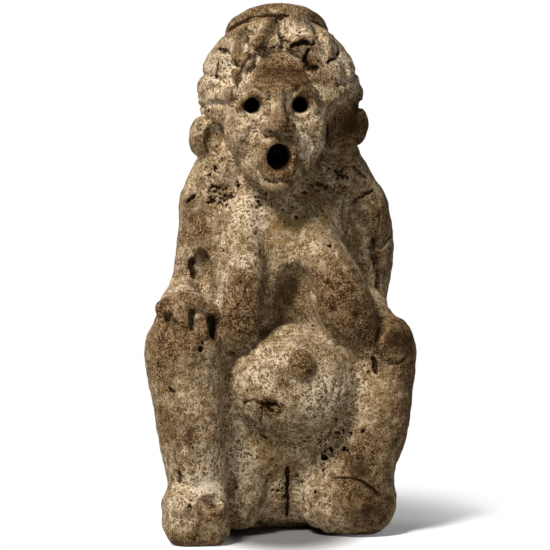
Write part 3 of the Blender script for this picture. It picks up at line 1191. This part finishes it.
# places where the coat differs: place, radius, strength
coatSpots = {
    "worn": (  # where the coat has come off
        ((34, -38, 50), 12, 0.3), ((-17, -38, 99), 11, 0.45), ((-20, -38, 88), 11, 0.5),
        ((19, -39, 101), 12, 0.5), ((26, -39, 91), 13, 0.5), ((27, -36, 80), 10, 0.3),
        ((2, -50, 71), 7, 0.9), ((43, -31, 78), 11, 0.9), ((-50, -32, 88), 12, 0.4),
        ((-42, -42, 82), 10, 0.35), ((-50, -38, 70), 11, 0.4), ((-50, -38, 52), 11, 0.3),
        ((-45, -44, 44), 10, 0.25), ((-38, -51, 6), 12, 0.2), ((-33, -49, 17), 6, 0.4),
        ((31, -40, 13), 14, 0.55), ((28, -39, 30), 9, 0.7), ((47, -26, 62), 9, 0.7),
        ((47, -28, 48), 9, 0.7), ((43, -30, 36), 9, 0.6), ((-6, -32, 188), 11, 0.7),
        ((7, -31, 184), 10, 0.6), ((40, -5, 125), 12, 0.3), ((2, 10, 207), 24, 0.3),
        ((30, -12, 163), 11, 1.4), ((-33, -6, 122), 10, 0.45), ((-9.5, -41.5, 54.4), 4, 0.8),
        ((-6, -43, 53.6), 2.8, 0.6), ((-14, -20, 190), 9, -0.12), ((5, -20, 198), 8, -0.08),
        ((-22, -14, 184), 11, -0.12), ((18, -18, 190), 11, -0.1), ((-30, -10, 106), 7, 0.4),
        ((-29, -30, 85), 8, 0.6), ((-1, -39, 166), 6, 0.3), ((-1, -38, 148), 7, 0.5),
        ((0, 40, 60), 40, 0.25), ((0, 34, 185), 20, 0.35),
    ),
    "stain": (  # earth that has stained it
        ((-1, -24, 121), 11, 0.7), ((13, -23, 127), 10, 0.4), ((0, -22, 131), 11, 0.55),
        ((14, -19, 136), 10, 0.5), ((34, -10, 122), 11, 0.5), ((33, -38, 45), 12, 0.4),
        ((30, -36, 72), 10, 0.4), ((36, -38, 60), 10, 0.2), ((4, -30, 40), 13, 0.45),
        ((0, -24, 18), 13, 0.7), ((-26, -14, 136), 9, 0.5), ((-29, -12, 157), 8, 0.6),
        ((22, -22, 184), 11, 0.5), ((-30, -40, 60), 12, 0.4), ((40, -36, 58), 10, 0.5),
        ((-8, -30, 110), 9, 0.35), ((22, -16, 150), 12, 0.4), ((-10, -28, 34), 13, 0.45),
        ((10, -40, 48), 9, 0.35), ((0, 38, 110), 30, 0.35),
    ),
    "chalk": (  # pale, chalky places
        ((12, -43, 56), 9, 0.5), ((26, -36, 62), 6, 0.4), ((30, -38, 52), 8, 0.15),
        ((-14, -22, 129), 8, 0.5), ((-17, -36, 108), 9, 0.5), ((8, -25, 18), 8, 0.4),
        ((-24, -34, 30), 11, 0.4), ((-14, -30, 160), 8, 0.2), ((12, -31, 160), 9, 0.35),
        ((-10, -33, 172), 8, 0.15), ((11, -33, 171), 8, 0.2), ((-34, -44, 24), 9, 0.5),
        ((-26, -30, 100), 9, 0.5), ((-6, -45, 68), 10, 0.3), ((4, -20, 203), 10, 0.3),
        ((20, -18, 192), 12, 0.35), ((27, -14, 181), 11, 0.5), ((-25, -14, 185), 11, 0.55),
        ((-34, -48, 21), 7, 0.5), ((-44, -50, 14), 6, 0.4), ((-1, -36, 176), 5, 0.4),
        ((-38, -20, 96), 8, 0.5), ((0, 36, 140), 25, 0.3),
    ),
    "cavity": (  # darker places
        ((30, -11, 163), 10, 1.3), ((2, -21, 106), 6, 0.5), ((3.5, -18, 97), 8, 1.1),
        ((3, -19, 87), 8, 1.0), ((-30, -8, 104), 6, 0.25), ((0, -28, 26), 12, 0.15),
        ((20, -15, 148), 8, 0.2), ((38, -6, 108), 10, 0.2), ((44, -29, 78), 9, 0.8),
        ((28, -38, 28), 6, 0.7), ((-16, -20, 146), 7, 0.25), ((33, -36, 45), 12, 0.2),
        ((-6, -31, 188), 10, 0.4), ((6, -31, 184), 9, 0.2), ((-9, -42, 54.6), 3.2, 1.0),
        ((-12, -41, 55.2), 2.2, 0.6), ((47, -27, 55), 9, 0.3), ((-31, -33, 84), 5, 0.5),
    ),
    "dirt": (  # soot and earth
        ((31, -13, 163), 14, 0.62), ((-9, -29, 187), 10, 0.55), ((6, -31, 184), 11, 0.55),
        ((44, -29, 78), 11, 0.8), ((24, -40, 92), 12, 0.42), ((3.5, -18, 93), 8, 0.3),
        ((31, -40, 12), 15, 0.55), ((-9, -42, 54.6), 2.6, 0.4), ((-19, -39, 92), 10, 0.3),
        ((25, -36, 27), 5, 0.32), ((29, -38, 30), 6, 0.22), ((31.5, -39, 25), 6, 0.3),
    ),
    "pitted": (  # open pores
        ((-25, -15, 135), 8, 1.0), ((-29, -13, 144), 8, 0.6), ((-10, -20, 133), 7, 0.6),
        ((17, -16, 139), 9, 0.8), ((24, -14, 143), 7, 0.8), ((5, -22, 129), 10, 0.4),
        ((-29, -14, 157), 8, 0.9), ((-27, -8, 170), 8, 0.6), ((0, -28, 42), 14, 0.6),
        ((18, -33, 38), 10, 0.9), ((0, -24, 22), 14, 0.6), ((30, -37, 68), 9, 0.5),
        ((-22, -28, 112), 7, 0.5), ((-32, -6, 100), 7, 0.7), ((-34, -42, 76), 8, 0.5),
        ((43, -31, 76), 8, 0.4), ((-36, -48, 20), 8, 0.4), ((36, -36, 18), 9, 0.4),
        ((-4, -22, 196), 9, 0.5), ((5, -23, 196), 8, 0.5), ((20, -24, 186), 9, 0.4),
        ((-20, -20, 184), 10, 0.4), ((-10, -30, 36), 10, 0.5), ((-40, -45, 40), 12, 0.2),
    ),
}
coatRules = {  # level, what sharp edges add, what broad humps add
    "worn": (0.27, 0.35, 0.10),
    "cavity": (-0.10, -0.8, -0.14),
    "stain": (0, 0, -0.06),
    "chalk": (0, 0, 0),
    "pitted": (0, 0, 0),
}


def spotted(points, key):
    total = np.zeros(len(points))
    for place, radius, strength in coatSpots[key]:
        gap = ((points - np.array(place)) ** 2).sum(1) / radius**2
        total += strength * np.exp(-gap * 1.4)
    return total


def newObject(name, content):
    obj = bpy.data.objects.new(name, content)
    bpy.context.scene.collection.objects.link(obj)
    return obj


def cutPiece(name):  # what a piece owns of the clay: points, quads, how far each point lies past a joint
    window, own = clay.claims[name]
    index = list(clay.claims).index(name)
    others = np.where(clay.owner[window] == index, clay.second[window], clay.nearest[window])
    past = (own - others) * 0.5
    sunk = clayBlock["sink"] * np.maximum(past, 0)
    field = np.maximum(clay.skin[window] + sunk, past - clayBlock["overlap"])
    field = np.pad(field, 1, constant_values=clayBlock["far"])
    volume = openvdb.FloatGrid(clayBlock["far"])
    volume.copyFromArray(np.ascontiguousarray(field, np.float32))
    points, _, quads = volume.convertToPolygons(0.0, 0.0)
    cell = tuple(np.clip(np.round(points - 1).astype(int), 0, np.array(past.shape) - 1).T)
    corner = np.array([clay.axes[k][window[k].start] for k in range(3)]) - clay.step
    return points * clay.step + corner, quads, past[cell]


def makePiece(name):
    points, quads, pastJoint = cutPiece(name)
    mesh = bpy.data.meshes.new(name)
    mesh.vertices.add(len(points))
    mesh.vertices.foreach_set("co", ((points + originShift) * millimetre).astype(np.float32).ravel())
    mesh.loops.add(4 * len(quads))
    mesh.loops.foreach_set("vertex_index", quads.astype(np.int32).ravel())
    mesh.polygons.add(len(quads))
    mesh.polygons.foreach_set("loop_start", np.arange(0, 4 * len(quads), 4, dtype=np.int32))
    mesh.update(calc_edges=True)

    def paint(attribute, values):
        layer = mesh.attributes.new(attribute, "FLOAT", "POINT")
        layer.data.foreach_set("value", np.clip(values, 0, 1).astype(np.float32))

    edge, hump, toHollow = (clay.read(field, points) for field in (sharp, broad, hollow))
    for key, (level, perEdge, perHump) in coatRules.items():
        paint(key, level + edge * perEdge + hump * perHump + spotted(points, key))
    paint("dirt", clay.read(clay.dirt, points) + spotted(points, "dirt"))
    paint("inner", 0.9 - 1.6 * toHollow)  # dark inside the openings
    obj = newObject(f"clay_{name}", mesh)
    skin = obj.modifiers.new("weatherSkin", "NODES")
    skin.node_group = weather
    for label, value in skinTree.items():
        skin[weatherInputs[label]] = value
    skin[weatherInputs["Clay"]] = weatheredClay
    if name in clayBlock["thinning"]:
        least = clayBlock["thinned"]
        hidden = (toHollow < least["toHollow"]) | (pastJoint > least["pastJoint"])
        obj.vertex_groups.new(name="hidden").add(np.flatnonzero(hidden).tolist(), 1.0, "REPLACE")
        thin = obj.modifiers.new("thinHidden", "DECIMATE")
        thin.ratio = clayBlock["thinning"][name]
        thin.vertex_group, thin.vertex_group_factor = "hidden", 1000.0
    bpy.context.view_layer.update()
    made = bpy.data.meshes.new_from_object(obj.evaluated_get(bpy.context.evaluated_depsgraph_get()))
    obj.modifiers.clear()
    obj.vertex_groups.clear()
    obj.data = made
    bpy.data.meshes.remove(mesh)
    made.name = f"clay_{name}"
    return obj


faces = 0
for name in clay.claims:
    piece = makePiece(name)
    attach(piece, "root")
    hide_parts(name)
    count = sum(len(p.vertices) - 2 for p in piece.data.polygons)
    faces += count
    print(name, count)
print("pieces made, triangles", faces)

# stage: pale floor that fades to white, soft light from the upper left
stageLook = {
    "floorSize": 3.0,
    "floorColour": (0.8, 0.797, 0.793),
    "bounceColour": (0.45, 0.447, 0.444),  # what the floor throws back at the clay
    "underColour": (0.14, 0.135, 0.128),  # close under the base
    "underShape": (1.6, 0.9, 1.0),
    "under": (0.034, 0.075),  # where that ends
    "fade": (0.055, 0.125),  # where the floor turns white
    "lift": 0.2,
    "worldLevel": 0.05,
}


def seenRays(b):  # rays that show a surface, rather than light others with it
    rays = seen = b.add("LightPath")
    for kind in ("Is Glossy Ray", "Is Transmission Ray"):
        other = Sum(b, rays.socket.node.outputs[kind])
        seen = b.add("Math", {"operation": "MAXIMUM"}, {0: seen, 1: other})
    return seen


def makeFloor():
    mesh = bpy.data.meshes.new("floor")
    h = stageLook["floorSize"]
    mesh.from_pydata([(-h, -h, 0), (h, -h, 0), (h, h, 0), (-h, h, 0)], [], [(0, 1, 2, 3)])
    floor = newObject("floor", mesh)
    material = bpy.data.materials.new("paleFloor")
    material.use_nodes = True
    tree = material.node_tree
    tree.nodes.remove(tree.nodes["Principled BSDF"])
    b = Bench(tree, "Shader")
    spot = b.add("TexCoord", output="Object")

    def reach(vector, low, high):
        return b.between(b.add("VectorMath", {"operation": "LENGTH"}, {0: vector}, "Value"), low, high)

    squeezed = b.add("VectorMath", {"operation": "MULTIPLY"}, {0: spot, 1: stageLook["underShape"]})
    under = reach(squeezed, *stageLook["under"])
    seen = seenRays(b)
    near = b.blend(under, stageLook["underColour"], stageLook["floorColour"])
    matte = b.add("BsdfDiffuse", {}, {"Color": b.blend(seen, stageLook["bounceColour"], near)})
    lift = b.add("Emission", {}, {"Color": (1, 1, 1, 1), "Strength": seen * under * stageLook["lift"]})
    ground = b.add("AddShader", {}, {0: matte, 1: lift})
    white = b.add("Emission", {}, {"Color": (1, 1, 1, 1), "Strength": 1.0})
    fade = reach(spot, *stageLook["fade"]) * seen
    done = b.add("MixShader", {}, {0: fade, 1: ground, 2: white})
    tree.links.new(done.socket, tree.nodes["Material Output"].inputs["Surface"])
    mesh.materials.append(material)


def makeWorld():
    world = bpy.data.worlds.new("studio")
    bpy.context.scene.world = world
    world.use_nodes = True
    dim = stageLook["worldLevel"]
    level = seenRays(Bench(world.node_tree, "Shader")) * (1 - dim) + dim
    back = world.node_tree.nodes["Background"]
    back.inputs["Color"].default_value = (1, 1, 1, 1)
    world.node_tree.links.new(level.socket, back.inputs["Strength"])


lampAim = Vector((0, 0, 0.1))
lamps = {
    "key": {"place": (-0.62, -0.66, 1.22), "size": 0.36, "power": 40.0},
    "fill": {"place": (0.5, -1.3, 0.45), "size": 0.8, "power": 1.5},
    "back": {"place": (-0.8, 1.2, 0.7), "size": 0.8, "power": 11.0},
}


def makeLamps():
    for name, setting in lamps.items():
        light = bpy.data.lights.new(name, "AREA")
        light.energy, light.size = setting["power"], setting["size"]
        lamp = newObject(name, light)
        lamp.location = setting["place"]
        lamp.rotation_euler = (lampAim - lamp.location).to_track_quat("-Z", "Y").to_euler()


cameraView = {
    "azimuth": -8, "elevation": 6.5, "distance": 1.8, "aim": (0, 0, 0.1023),
    "frameWidth": 0.2212, "sensor": 36,
}


def makeCamera():
    a, e = math.radians(cameraView["azimuth"]), math.radians(cameraView["elevation"])
    back = Vector((math.sin(a) * math.cos(e), -math.cos(a) * math.cos(e), math.sin(e)))
    data = bpy.data.cameras.new("camera")
    camera = newObject("camera", data)
    camera.location = Vector(cameraView["aim"]) + back * cameraView["distance"]
    camera.rotation_euler = (-back).to_track_quat("-Z", "Y").to_euler()
    data.sensor_width = cameraView["sensor"]
    data.lens = cameraView["sensor"] * cameraView["distance"] / cameraView["frameWidth"]
    bpy.context.scene.camera = camera


makeFloor()
makeWorld()
makeLamps()
makeCamera()
bpy.context.scene.view_settings.view_transform = "Standard"
print("stage set")
